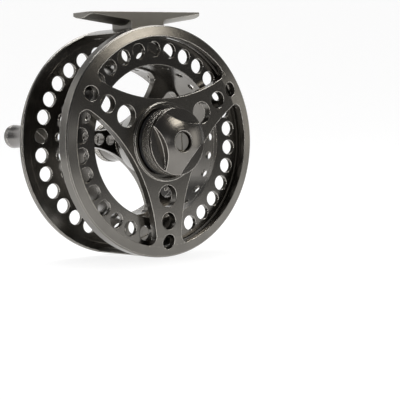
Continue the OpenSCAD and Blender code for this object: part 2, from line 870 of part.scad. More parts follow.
// The handle's post stands on the rear flange, and its screw comes from the front.
module handle_post() {
    color("silver") on_axis() polar(handle_angle, handle_at) difference() {
        union() {
            disc(post_flange_r, post_z, post_flange_t);
            disc(post_r, post_z, post_end - post_z);
        }
        disc(post_screw_r, post_z - past, past + post_screw_l);
        disc(end_screw_r, post_end - end_screw_l, end_screw_l + past);
    }
}

module handle_screw() {
    top = web_z + handle_seat_t;
    color("silver") on_axis() polar(handle_angle, handle_at) difference() {
        union() {
            disc(post_screw_head_r, top - post_screw_head_h, post_screw_head_h);
            disc(post_screw_r, top - eps, post_z + post_screw_l - top);
        }
        rotate([0, 0, handle_slot_turn])
            translate([-post_screw_head_r - past, -handle_slot_w / 2, top - post_screw_head_h - past])
                cube([2 * (post_screw_head_r + past), handle_slot_w, past + handle_slot_h]);
    }
}

module handle_washer() {
    color("black") on_axis() polar(handle_angle, handle_at)
        tube(handle_r - grip_edge, post_r + seat, washer_z, handle_washer_t);
}

// The grip turns on the post and is slightly waisted.
module handle_grip() {
    arc_r = (handle_l * handle_l / 4 + waist * waist) / (2 * waist);
    recess = end_screw_head_r + end_screw_room;
    color("gray") on_axis() polar(handle_angle, handle_at) rotate_extrude() difference() {
        polygon([[post_r + running, grip_z], [handle_r - grip_edge, grip_z], [handle_r, grip_z + grip_edge],
            [handle_r, grip_end - grip_edge], [handle_r - grip_edge, grip_end], [recess, grip_end],
            [recess, grip_end - grip_recess], [post_r + running, grip_end - grip_recess]]);
        translate([handle_r - waist + arc_r, (grip_z + grip_end) / 2]) circle(r = arc_r, $fn = 180);
    }
}

module handle_end_screw() {
    head_z = post_end + 2 * play;
    color("silver") on_axis() polar(handle_angle, handle_at) difference() {
        union() {
            disc(end_screw_head_r, head_z, end_screw_head_h);
            disc(end_screw_r, head_z + eps - end_screw_l, end_screw_l);
        }
        translate([-handle_slot_w / 2, -end_screw_head_r - past, head_z + end_screw_head_h - handle_slot_h])
            cube([handle_slot_w, 2 * (end_screw_head_r + past), handle_slot_h + past]);
    }
}

frame_ring();
frame_spokes_plate();
drag_cup();
frame_pillars();
foot();
foot_screws();
spindle();
spindle_nut();
drag_discs();
back_plate();
retaining_ring();
drag_cover();
cover_seal();
click_pin();
click_spring();
push_ring();
push_pins();
pressure_plate();
drag_spring();
drag_knob();
knob_insert();
knob_seal();
knob_screw();
drag_rotor();
rotor_bushes();
spool_front_flange();
spool_drum();
spool_rear_flange();
spool_hub();
click_ring();
clutch_shell();
clutch_rollers();
bearing_outer_ring();
bearing_balls();
bearing_cage();
bearing_inner_ring();
spool_cap();
cap_seal();
handle_post();
handle_screw();
handle_washer();
handle_grip();
handle_end_screw();
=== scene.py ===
"""A large arbor fly reel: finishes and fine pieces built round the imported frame.

All sizes are in metres in the frame's axes: +Z out of the foot's seat, +X along the rod and
+Y along the spin axis. A depth is measured along +Y from the front edge of the frame's ring.
"""

import json
import logging
import math
from collections.abc import Callable
from dataclasses import dataclass, field
from enum import Enum

import bmesh
import bpy
import numpy as np
from mathutils import Matrix, Vector

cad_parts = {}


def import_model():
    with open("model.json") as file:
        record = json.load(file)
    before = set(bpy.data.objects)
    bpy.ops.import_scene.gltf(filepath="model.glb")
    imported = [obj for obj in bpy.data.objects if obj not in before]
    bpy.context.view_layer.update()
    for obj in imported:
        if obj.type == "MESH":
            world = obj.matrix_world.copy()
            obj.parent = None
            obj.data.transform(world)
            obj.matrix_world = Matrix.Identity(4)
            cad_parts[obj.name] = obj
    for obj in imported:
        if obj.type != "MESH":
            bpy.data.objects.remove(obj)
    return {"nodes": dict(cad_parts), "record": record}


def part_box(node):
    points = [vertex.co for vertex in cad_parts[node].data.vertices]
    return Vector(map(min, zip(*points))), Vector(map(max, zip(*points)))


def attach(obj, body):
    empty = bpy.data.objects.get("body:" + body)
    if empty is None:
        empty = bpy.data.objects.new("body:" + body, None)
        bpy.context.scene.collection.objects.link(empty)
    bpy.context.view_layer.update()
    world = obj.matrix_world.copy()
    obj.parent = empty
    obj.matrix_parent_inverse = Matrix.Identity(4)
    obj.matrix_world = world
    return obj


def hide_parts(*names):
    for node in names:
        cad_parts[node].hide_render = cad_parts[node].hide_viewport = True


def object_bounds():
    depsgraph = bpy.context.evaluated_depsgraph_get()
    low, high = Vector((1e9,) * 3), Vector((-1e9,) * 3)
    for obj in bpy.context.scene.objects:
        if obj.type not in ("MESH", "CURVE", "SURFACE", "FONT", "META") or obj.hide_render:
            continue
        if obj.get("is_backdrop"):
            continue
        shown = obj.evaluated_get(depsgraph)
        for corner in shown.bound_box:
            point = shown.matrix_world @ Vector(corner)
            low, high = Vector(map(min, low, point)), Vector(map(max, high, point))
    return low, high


LOG = logging.getLogger("fly_reel")
MM = 0.001
SHARP_ANGLE = 32.0
FLAT_FACE_SHARP_ANGLE = 6.0
KNURL_STEEPNESS = 1.6
KNURL_FADE = 0.3 * MM
Colour = tuple[float, float, float]
Relief = Callable[[np.ndarray, np.ndarray], np.ndarray]


class Lay(Enum):
    """Which way a metal's fine tool marks run."""

    TURNED = "rings about the spin axis"
    TURNED_GRIP = "rings about the handle's own axis"
    BRUSHED = "straight lines along the rod"
    NONE = "no direction"


class Value:
    """A number socket in a node tree, on which sums are written as Python expressions."""

    def __init__(self, tree: "Tree", socket: bpy.types.NodeSocket) -> None:
        """Wraps a socket.

        Args:
            tree: the tree that new nodes go in.
            socket: the output that holds the number.
        """
        self.tree = tree
        self.socket = socket

    def _maths(self, operation: str, *values: "Value | float") -> "Value":
        """Adds one Math node.

        Args:
            operation: the node's operation.
            values: its inputs in order.

        Returns:
            The node's result.
        """
        inputs = {i: v for i, v in enumerate(values)}
        return self.tree.add("ShaderNodeMath", {"operation": operation}, inputs)

    def __add__(self, other: "Value | float") -> "Value":
        """self + other."""
        return self._maths("ADD", self, other)

    def __radd__(self, other: float) -> "Value":
        """other + self."""
        return self._maths("ADD", other, self)

    def __sub__(self, other: "Value | float") -> "Value":
        """self - other."""
        return self._maths("SUBTRACT", self, other)

    def __rsub__(self, other: float) -> "Value":
        """other - self."""
        return self._maths("SUBTRACT", other, self)

    def __mul__(self, other: "Value | float") -> "Value":
        """self * other."""
        return self._maths("MULTIPLY", self, other)

    def __truediv__(self, other: "Value | float") -> "Value":
        """self / other."""
        return self._maths("DIVIDE", self, other)

    def __abs__(self) -> "Value":
        """The size of self."""
        return self._maths("ABSOLUTE", self)

    def floor(self) -> "Value":
        """The whole number below self."""
        return self._maths("FLOOR", self)

    def root(self) -> "Value":
        """The square root of self."""
        return self._maths("SQRT", self)

    def remainder(self, other: float) -> "Value":
        """What is left of self over a whole number of others, never negative."""
        return self._maths("FLOORED_MODULO", self, other)

    def above(self, other: "Value | float") -> "Value":
        """1 where self is more than other, else 0."""
        return self._maths("GREATER_THAN", self, other)

    def smooth(self, low: float, high: float) -> "Value":
        """0 below low and 1 above high, with a smooth step between."""
        settings = {"interpolation_type": "SMOOTHSTEP"}
        inputs = {"Value": self, "From Min": low, "From Max": high}
        return self.tree.add("ShaderNodeMapRange", settings, inputs)


class Tree:
    """A material's node tree with one Principled shader."""

    def __init__(self, name: str) -> None:
        """Starts a new material with its shader and output.

        Args:
            name: the material's name.
        """
        self.material = bpy.data.materials.new(name)
        self.material.use_nodes = True
        self.nodes = self.material.node_tree.nodes
        self.links = self.material.node_tree.links
        self.nodes.clear()
        self.shader = self.nodes.new("ShaderNodeBsdfPrincipled")
        output = self.nodes.new("ShaderNodeOutputMaterial")
        self.links.new(self.shader.outputs[0], output.inputs[0])

    def add(self, kind: str, settings: dict | None = None, inputs: dict | None = None,
            output: str | int = 0) -> Value:
        """Adds any node.

        Args:
            kind: the node's type.
            settings: what is set on the node itself, before its sockets.
            inputs: constants or links of its sockets, by name or number.
            output: the socket that is returned.

        Returns:
            The chosen output as a Value.
        """
        node = self.nodes.new(kind)
        for key, value in (settings or {}).items():
            setattr(node, key, value)
        for key, value in (inputs or {}).items():
            self.feed(node.inputs[key], value)
        return Value(self, node.outputs[output])

    def feed(self, socket: bpy.types.NodeSocket, value: object) -> None:
        """Links a Value to a socket, or sets a constant on it.

        Args:
            socket: the input.
            value: a Value or a constant.
        """
        if isinstance(value, Value):
            self.links.new(value.socket, socket)
        else:
            socket.default_value = value

    def set(self, **sockets: object) -> None:
        """Feeds the shader's sockets, whose names have underscores for spaces.

        Args:
            sockets: a Value or a constant for each.
        """
        for key, value in sockets.items():
            self.feed(self.shader.inputs[key.replace("_", " ")], value)

    def place(self) -> Value:
        """The point on the surface, in the piece's own axes."""
        return self.add("ShaderNodeTexCoord", output="Object")

    def split(self, vector: Value) -> list[Value]:
        """The three parts of a vector.

        Args:
            vector: a vector.

        Returns:
            Its x, y and z.
        """
        node = self.nodes.new("ShaderNodeSeparateXYZ")
        self.feed(node.inputs[0], vector)
        return [Value(self, o) for o in node.outputs]

    def join(self, x: Value | float, y: Value | float, z: Value | float) -> Value:
        """A vector from three numbers."""
        return self.add("ShaderNodeCombineXYZ", None, {0: x, 1: y, 2: z})

    def noise(self, vector: Value, scale: float, detail: float = 2.0) -> Value:
        """Smooth noise from 0 to 1.

        Args:
            vector: where it is read.
            scale: how many bumps there are in a metre.
            detail: how many finer layers it has.

        Returns:
            The noise.
        """
        return self.add("ShaderNodeTexNoise", None, {"Vector": vector, "Scale": scale, "Detail": detail})

    def mix(self, share: Value, first: Value | Colour, second: Value | Colour) -> Value:
        """A colour between two others.

        Args:
            share: 0 for the first and 1 for the second.
            first: a colour.
            second: a colour.

        Returns:
            The mixed colour.
        """
        def full(colour: Value | Colour) -> Value | tuple:
            """A colour with its alpha."""
            return colour if isinstance(colour, Value) else (*colour, 1.0)

        inputs = {0: share, 6: full(first), 7: full(second)}
        return self.add("ShaderNodeMix", {"data_type": "RGBA"}, inputs, 2)

    def arrows(self, operation: str, *vectors: object, output: str | int = 0) -> Value:
        """One Vector Math node.

        Args:
            operation: the node's operation.
            vectors: its inputs in order.
            output: the socket that is returned.

        Returns:
            The chosen output.
        """
        inputs = {i: v for i, v in enumerate(vectors)}
        return self.add("ShaderNodeVectorMath", {"operation": operation}, inputs, output)


@dataclass(frozen=True)
class Metal:
    """A machined metal with tool marks, rounded edges that carry a painted highlight in their colour, and
    faint cloudiness.
    """

    name: str
    colour: Colour
    # Painted highlight: the colour that the edges are lightened to, standing in for their bright reflections.
    painted_highlight_colour: Colour
    roughness: float
    lay: Lay
    centre: tuple[float, float]
    edge: float = 0.45 * MM
    mark_pitch: float = 0.10 * MM
    mark_slope: float = 0.10
    # How much of the painted edge highlight is mixed into the base colour.
    painted_highlight_share: float = 0.9

    def build(self) -> bpy.types.Material:
        """Makes the material.

        The normal is tilted across the tool marks by (noise(distance / pitch) - 0.5) * 2 * slope, so
        that light spreads across them and not along them. An edge is where the rounded normal leaves the
        face's own normal, and there a painted highlight lightens the base colour.

        Returns:
            The material.
        """
        tree = Tree(self.name)
        place = tree.place()
        x, y, z = tree.split(place)
        rounded = tree.add("ShaderNodeBevel", {"samples": 4}, {"Radius": self.edge})
        face = tree.add("ShaderNodeNewGeometry", output="Normal")
        turn = 1.0 - tree.arrows("DOT_PRODUCT", rounded, face, output="Value")
        edge = turn.smooth(0.01, 0.16)
        dx, dz = x - self.centre[0], z - self.centre[1]
        normal = rounded
        if self.lay in (Lay.TURNED, Lay.TURNED_GRIP):
            across = (dx * dx + dz * dz).root()
            marks = tree.noise(tree.join(across, y, 0.0), 1.0 / self.mark_pitch, 1.0)
            away = tree.arrows("NORMALIZE", tree.join(dx, 0.0, dz))
            amount = (marks - 0.5) * (2.0 * self.mark_slope)
            step = tree.add("ShaderNodeVectorMath", {"operation": "SCALE"}, {0: away, "Scale": amount})
            lift = tree.join(0.0, (marks - 0.5) * (1.2 * self.mark_slope), 0.0)
            normal = self.tilted(tree, rounded, tree.arrows("ADD", step, lift))
        elif self.lay is Lay.BRUSHED:
            marks = tree.noise(tree.join(x * 0.03, y, z), 1.0 / self.mark_pitch, 2.0)
            tilt = (marks - 0.5) * (2.0 * self.mark_slope)
            normal = self.tilted(tree, rounded, tree.join(0.0, tilt, tilt * 0.6))
        cloud = tree.noise(place, 140.0, 3.0)
        fine = tree.noise(place, 2600.0, 2.0)
        shade = tree.mix(cloud.smooth(0.3, 0.7), self.colour, tuple(c * 0.90 for c in self.colour))
        # Painted highlight: the base colour is lightened along the edges, standing in for their bright
        # reflections.
        shade = tree.mix(edge * self.painted_highlight_share, shade, self.painted_highlight_colour)
        tree.set(Base_Color=shade, Metallic=1.0, Normal=normal)
        tree.set(Roughness=self.roughness + (cloud - 0.5) * 0.06 + (fine - 0.5) * 0.05 - edge * 0.04)
        return tree.material

    @staticmethod
    def tilted(tree: Tree, normal: Value, step: Value) -> Value:
        """A normal moved by a small step that is given in the piece's own axes.

        Args:
            tree: the tree.
            normal: the normal.
            step: what is added to it.

        Returns:
            The new normal.
        """
        settings = {"vector_type": "VECTOR", "convert_from": "OBJECT", "convert_to": "WORLD"}
        turned = tree.add("ShaderNodeVectorTransform", settings, {0: step})
        return tree.arrows("NORMALIZE", tree.arrows("ADD", normal, turned))


@dataclass(frozen=True)
class Carbon:
    """Woven carbon fibre: a twill of dark tows, each with its own sheen."""

    name: str
    tow: float = 0.9 * MM

    def build(self) -> bpy.types.Material:
        """Makes the material. A cell is over or under by (column + row) mod 4 < 2.

        Returns:
            The material.
        """
        tree = Tree(self.name)
        place = tree.place()
        x, _, z = tree.split(place)
        column, row = x / self.tow, z / self.tow
        over = ((column.floor() + row.floor()).remainder(4.0)).above(1.5)
        across = over * column.remainder(1.0) + (1.0 - over) * row.remainder(1.0)
        crown = 1.0 - abs(across - 0.5) * 2.0
        fibre = tree.noise(tree.join(x, 0.0, z), 9000.0, 2.0)
        shade = tree.mix(over, (0.028, 0.028, 0.030), (0.060, 0.060, 0.062))
        height = crown.smooth(0.0, 0.8) + fibre * 0.2
        bump = tree.add("ShaderNodeBump", None, {"Strength": 0.5, "Distance": 0.0001, "Height": height})
        tree.set(Base_Color=shade, Roughness=0.42 + fibre * 0.2, Normal=bump)
        return tree.material


@dataclass(frozen=True)
class Polymer:
    """A moulded black rubber or nylon with a fine matt grain."""

    name: str
    colour: Colour
    roughness: float
    grain: float

    def build(self) -> bpy.types.Material:
        """Makes the material.

        Returns:
            The material.
        """
        tree = Tree(self.name)
        place = tree.place()
        grain = tree.noise(place, self.grain, 3.0)
        dust = tree.noise(place, 300.0, 2.0)
        pale = tuple(c * 1.8 + 0.01 for c in self.colour)
        bump = tree.add("ShaderNodeBump", None, {"Strength": 0.35, "Distance": 0.00005, "Height": grain})
        tree.set(Base_Color=tree.mix(dust.smooth(0.45, 0.8), self.colour, pale), Normal=bump)
        tree.set(Roughness=self.roughness + (grain - 0.5) * 0.15)
        return tree.material


@dataclass(frozen=True)
class Paper:
    """The studio's pale sweep."""

    name: str
    colour: Colour
    glow: float

    def build(self) -> bpy.types.Material:
        """Makes the material.

        Returns:
            The material.
        """
        tree = Tree(self.name)
        fibre = tree.noise(tree.place(), 900.0, 2.0)
        pale = tuple(c * 0.985 for c in self.colour)
        tree.set(Base_Color=tree.mix(fibre, self.colour, pale), Roughness=0.85)
        tree.set(Emission_Color=(1.0, 1.0, 1.0, 1.0), Emission_Strength=self.glow)
        return tree.material


@dataclass(frozen=True)
class Axis:
    """A line along +Y about which a piece is turned."""

    x: float
    z: float
    front: float

    def points(self, radius: np.ndarray, angle: np.ndarray, depth: np.ndarray) -> np.ndarray:
        """World points from a distance, an angle from +X towards +Z, and a depth.

        x = axis + r cos a, y = front + depth, z = axis + r sin a.

        Args:
            radius: distances from the axis.
            angle: angles in radians.
            depth: distances along +Y.

        Returns:
            An array with one more dimension of 3.
        """
        radius, angle, depth = np.broadcast_arrays(radius, angle, depth)
        return np.stack((self.x + radius * np.cos(angle), self.front + depth,
                         self.z + radius * np.sin(angle)), axis=-1)


class Surface:
    """Meshes made from whole arrays of points."""

    @staticmethod
    def mesh(name: str, points: np.ndarray, faces: np.ndarray) -> bpy.types.Object:
        """Puts points and faces in a new object, merges what touches and turns faces outwards.

        Args:
            name: the object's name.
            points: (n, 3) places.
            faces: (m, 4) corners of quads.

        Returns:
            The object, at the origin.
        """
        mesh = bpy.data.meshes.new(name)
        mesh.from_pydata(points.astype(float), [], faces.astype(int))
        shape = bmesh.new()
        shape.from_mesh(mesh)
        bmesh.ops.remove_doubles(shape, verts=shape.verts, dist=2e-7)
        bmesh.ops.dissolve_degenerate(shape, dist=2e-7, edges=shape.edges)
        bmesh.ops.recalc_face_normals(shape, faces=shape.faces)
        shape.to_mesh(mesh)
        shape.free()
        piece = bpy.data.objects.new(name, mesh)
        bpy.context.scene.collection.objects.link(piece)
        Surface.soften(piece)
        return piece

    @staticmethod
    def soften(piece: bpy.types.Object) -> None:
        """Smooth shading with sharp edges past SHARP_ANGLE.

        Args:
            piece: the object.
        """
        piece.data.shade_smooth()
        piece.data.set_sharp_from_angle(angle=math.radians(SHARP_ANGLE))

    @staticmethod
    def grid_faces(rows: int, columns: int, wrap_rows: bool, wrap_columns: bool) -> np.ndarray:
        """Quads between the neighbours of a grid of points.

        Args:
            rows: how many rows it has.
            columns: how many columns it has.
            wrap_rows: whether the last row joins the first.
            wrap_columns: whether the last column joins the first.

        Returns:
            (m, 4) point numbers.
        """
        i = np.arange(rows if wrap_rows else rows - 1)[:, None]
        j = np.arange(columns if wrap_columns else columns - 1)[None, :]
        k, m = (i + 1) % rows, (j + 1) % columns
        quads = np.stack(np.broadcast_arrays(i * columns + j, i * columns + m, k * columns + m,
                                             k * columns + j), axis=-1)
        return quads.reshape(-1, 4)

    @classmethod
    def turned(cls, name: str, axis: Axis, profile: np.ndarray, steps: int, closed: bool = True,
               relief: Relief | None = None) -> bpy.types.Object:
        """A profile carried round an axis: r = profile radius + relief(angle, depth).

        Args:
            name: the object's name.
            axis: what it turns about.
            profile: (n, 2) radius and depth, in order.
            steps: how many places there are round the axis.
            closed: whether the profile's end joins its start.
            relief: a change of radius, from an angle and a depth.

        Returns:
            The object.
        """
        angle = np.linspace(0.0, 2.0 * math.pi, steps, endpoint=False)[None, :]
        radius, depth = profile[:, :1], profile[:, 1:]
        if relief is not None:
            radius = radius + relief(angle, depth) * (radius > 0.0)
        points = axis.points(radius, angle, depth)
        faces = cls.grid_faces(len(profile), steps, closed, True)
        return cls.mesh(name, points.reshape(-1, 3), faces)

    @classmethod
    def swept(cls, name: str, path: np.ndarray, radius: float, around: int) -> bpy.types.Object:
        """A round wire along a path, with closed ends.

        Each ring is path + r (cos a * side + sin a * up), with side and up square to the path.

        Args:
            name: the object's name.
            path: (n, 3) points.
            radius: the wire's radius.
            around: how many points each ring has.

        Returns:
            The object.
        """
        along = np.gradient(path, axis=0)
        along /= np.linalg.norm(along, axis=1, keepdims=True)
        side = np.cross(along, [0.0, 1.0, 0.0])
        side /= np.linalg.norm(side, axis=1, keepdims=True)
        up = np.cross(side, along)
        angle = np.linspace(0.0, 2.0 * math.pi, around, endpoint=False)[None, :, None]
        rings = path[:, None, :] + radius * (np.cos(angle) * side[:, None] + np.sin(angle) * up[:, None])
        first = np.broadcast_to(path[0], (1, around, 3))
        last = np.broadcast_to(path[-1], (1, around, 3))
        rings = np.concatenate((first, rings, last))
        return cls.mesh(name, rings.reshape(-1, 3), cls.grid_faces(len(rings), around, False, True))

    @staticmethod
    def cut(piece: bpy.types.Object, tools: list[bpy.types.Object]) -> None:
        """Takes tools away from a piece and deletes them.

        Args:
            piece: what is cut.
            tools: closed shapes.
        """
        Surface.combine(piece, tools, "DIFFERENCE")

    @staticmethod
    def join(piece: bpy.types.Object, other: bpy.types.Object) -> None:
        """Makes one closed shape of two that touch, and deletes the second.

        Args:
            piece: what grows.
            other: what is added to it.
        """
        Surface.combine(piece, [other], "UNION")

    @staticmethod
    def combine(piece: bpy.types.Object, others: list[bpy.types.Object], operation: str) -> None:
        """Applies exact booleans one after another.

        Args:
            piece: what is changed.
            others: closed shapes, which are deleted.
            operation: "DIFFERENCE" or "UNION".
        """
        for other in others:
            step = piece.modifiers.new("combine", "BOOLEAN")
            step.operation, step.solver, step.object = operation, "EXACT", other
        bpy.context.view_layer.update()
        shape = piece.evaluated_get(bpy.context.evaluated_depsgraph_get())
        piece.data = bpy.data.meshes.new_from_object(shape)
        piece.modifiers.clear()
        for other in others:
            bpy.data.objects.remove(other)
        Surface.soften(piece)


def between(start: tuple[float, float], end: tuple[float, float], steps: int) -> list[tuple[float, float]]:
    """Even points on a line, without its end.

    Args:
        start: the first point.
        end: the last point, which is left out.
        steps: how many points there are.

    Returns:
        The points.
    """
    share = np.arange(steps) / steps
    line = np.array(start) + share[:, None] * (np.array(end) - np.array(start))
    return [tuple(p) for p in line]


def knurl(count: int, lead: float, start: float, end: float, groove: float) -> Relief:
    """A diamond knurl cut into a wall between two depths.

    The change of radius is groove * (min(KNURL_STEEPNESS * min(wave 1, wave 2), 1) - 1), where the
    waves are triangle waves of angle * count / 2 pi + depth / lead and of the same with a minus
    sign. It is 0 on a diamond's flat top and fades out over KNURL_FADE at both ends.

    Args:
        count: how many diamonds there are round the piece.
        lead: the length of a diamond along the axis.
        start: where the knurl starts.
        end: where it ends.
        groove: how deep it is cut between the diamonds.

    Returns:
        A function of angle and depth that gives the change of radius.
    """
    def relief(angle: np.ndarray, depth: np.ndarray) -> np.ndarray:
        """The change of radius at an angle and a depth."""
        turn = angle * count / (2.0 * math.pi)
        one = np.abs((turn + depth / lead) % 1.0 - 0.5) * 2.0
        two = np.abs((turn - depth / lead) % 1.0 - 0.5) * 2.0
        fade_in = np.clip((depth - start) / KNURL_FADE, 0.0, 1.0)
        fade_out = np.clip((end - depth) / KNURL_FADE, 0.0, 1.0)
        diamonds = np.minimum(np.minimum(one, two) * KNURL_STEEPNESS, 1.0) - 1.0
        return diamonds * groove * (fade_in * fade_out)

    return relief


def on_wall(relief: Relief, profile: np.ndarray, radius: float) -> Relief:
    """Keeps a relief to the points of a profile that lie on its outer wall.

    Args:
        relief: the change of radius.
        profile: (n, 2) radius and depth.
        radius: the wall's radius.

    Returns:
        The same change on the wall, and none elsewhere.
    """
    outer = profile[:, :1] > radius - 0.01 * MM
    return lambda angle, depth: relief(angle, depth) * outer


@dataclass
class Finishes:
    """Every finish of the reel by its slot."""

    spin: Axis
    grip: Axis
    made: dict[str, bpy.types.Material] = field(default_factory=dict)

    def build(self) -> None:
        """Makes every material once."""
        spin, grip = (self.spin.x, self.spin.z), (self.grip.x, self.grip.z)
        # The colour of the painted edge highlight on the gunmetal finishes.
        bright = (0.95, 0.91, 0.84)
        # The second colour of each Metal is the colour of its painted edge highlight.
        finishes = [
            Metal("gunmetal_frame", (0.200, 0.190, 0.173), bright, 0.25, Lay.TURNED, spin),
            Metal("gunmetal_foot", (0.36, 0.345, 0.315), bright, 0.42, Lay.BRUSHED, spin, mark_slope=0.04),
            Metal("gunmetal_spool", (0.200, 0.190, 0.175), bright, 0.20, Lay.TURNED, spin, painted_highlight_share=1.0),
            Metal("gunmetal_knob", (0.215, 0.203, 0.187), bright, 0.22, Lay.TURNED, spin, mark_slope=0.16),
            Metal("gunmetal_grip", (0.240, 0.230, 0.220), bright, 0.26, Lay.TURNED_GRIP, grip),
            Metal("steel", (0.58, 0.56, 0.52), (0.85, 0.84, 0.80), 0.30, Lay.TURNED, spin, edge=0.12 * MM),
            Metal("spring_steel", (0.40, 0.39, 0.38), (0.6, 0.6, 0.6), 0.30, Lay.NONE, spin, edge=0.05 * MM),
            Metal("bearing_steel", (0.70, 0.70, 0.70), (0.8, 0.8, 0.8), 0.10, Lay.NONE, spin, edge=0.05 * MM),
            Metal("brass", (0.60, 0.46, 0.24), (0.80, 0.66, 0.40), 0.24, Lay.TURNED, spin, edge=0.10 * MM),
            Carbon("carbon"),
            Polymer("rubber", (0.022, 0.022, 0.023), 0.62, 4000.0),
            Polymer("nylon", (0.06, 0.06, 0.06), 0.45, 6000.0),
        ]
        for finish in finishes:
            self.made[finish.name] = finish.build()

    def dress(self, piece: bpy.types.Object, slot: str) -> None:
        """Puts a finish on every slot of a piece.

        Args:
            piece: the piece or CAD node.
            slot: the finish's name.
        """
        for holder in piece.material_slots:
            holder.material = self.made[slot]
        if not piece.material_slots:
            piece.data.materials.append(self.made[slot])


@dataclass
class Assembly:
    """What each sub-assembly shares: its body, finishes and axis."""

    body: str
    finishes: Finishes
    spin: Axis

    def keep(self, piece: bpy.types.Object, slot: str, *nodes: str) -> None:
        """Finishes a new piece: its material, its body, its slot and what it stands for.

        Args:
            piece: the new piece.
            slot: the record's material slot.
            nodes: the CAD nodes that it stands for.
        """
        self.finishes.dress(piece, slot)
        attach(piece, self.body)
        if nodes:
            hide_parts(*nodes)
        LOG.info("%s on %s, %d faces", piece.name, self.body, len(piece.data.polygons))


@dataclass
class DragKnob(Assembly):
    """The front knob: a knurled band under a dome with three scallops and a centre recess."""

    radius: float = 13.7 * MM
    back: float = -1.2 * MM
    seal_shoulder: float = -3.2 * MM
    groove: float = 12.8 * MM
    front: float = -10.5 * MM
    dome: float = 3.6 * MM
    recess: float = 4.2 * MM
    recess_floor: float = -11.1 * MM
    web_back: float = -9.8 * MM
    screw_hole: float = 1.85 * MM
    insert: float = 5.2 * MM
    cavity: float = 11.0 * MM
    ceiling: float = -5.85 * MM
    chamfer: float = 0.5 * MM
    scallop_radius: float = 25.0 * MM
    scallop_at: float = 8.0 * MM
    scallop_floor: float = -9.9 * MM
    scallop_angles: tuple[float, ...] = (75.0, 195.0, 315.0)
    diamonds: int = 84
    diamond_length: float = 1.0 * MM
    groove_depth: float = 0.28 * MM
    break_edge: float = 0.3 * MM
    small_edge: float = 0.2 * MM
    lip: float = 0.25 * MM
    rim_edge: float = 0.15 * MM
    knurl_from: float = 1.7 * MM
    knurl_to: float = 0.4 * MM

    def profile(self) -> np.ndarray:
        """The knob's half section as a closed loop, with the dome as an arc of a circle."""
        rim = self.radius - self.chamfer
        ball = (rim ** 2 + self.dome ** 2) / (2.0 * self.dome)
        centre = self.front - self.dome + ball
        reach = np.linspace(self.recess + self.lip, rim, 26)
        arc = [(float(r), float(centre - math.sqrt(ball ** 2 - r ** 2))) for r in reach]
        inner_top = centre - math.sqrt(ball ** 2 - self.recess ** 2)
        band = (self.radius, self.seal_shoulder - self.break_edge)
        loop = [(self.screw_hole, self.web_back),
                (self.screw_hole, self.recess_floor + self.small_edge),
                (self.screw_hole + self.small_edge, self.recess_floor),
                (self.recess - self.break_edge, self.recess_floor),
                (self.recess, self.recess_floor - self.break_edge),
                (self.recess, inner_top + self.lip)]
        loop += arc
        loop += [(self.radius - self.rim_edge, self.front + self.rim_edge)]
        loop += between((self.radius, self.front + self.chamfer), band, 44) + [band]
        loop += [(self.radius - self.break_edge, self.seal_shoulder), (self.groove, self.seal_shoulder),
                 (self.groove, self.back), (self.cavity, self.back), (self.cavity, self.ceiling),
                 (self.insert, self.ceiling), (self.insert, self.web_back)]
        return np.array(loop)

    def scallop(self, angle: float) -> bpy.types.Object:
        """The cutter of one scallop: a wide upright disc beside the knob.

        Args:
            angle: where it is, in degrees.

        Returns:
            The cutter.
        """
        reach = self.scallop_at + self.scallop_radius
        turn = math.radians(angle)
        x = self.spin.x + reach * math.cos(turn)
        z = self.spin.z + reach * math.sin(turn)
        axis = Axis(x, z, self.spin.front)
        top = self.front - self.dome - MM
        loop = np.array([(0.0, top), (self.scallop_radius, top), (self.scallop_radius, self.scallop_floor),
                         (0.0, self.scallop_floor)])
        return Surface.turned("scallop_cutter", axis, loop, 360, closed=False)

    def build(self) -> None:
        """Makes the knob."""
        relief = knurl(self.diamonds, self.diamond_length, self.front + self.knurl_from,
                       self.seal_shoulder - self.knurl_to, self.groove_depth)
        profile = self.profile()
        knob = Surface.turned("knob", self.spin, profile, self.diamonds * 7,
                              relief=on_wall(relief, profile, self.radius))
        Surface.cut(knob, [self.scallop(a) for a in self.scallop_angles])
        self.keep(knob, "gunmetal_knob", "drag_knob")


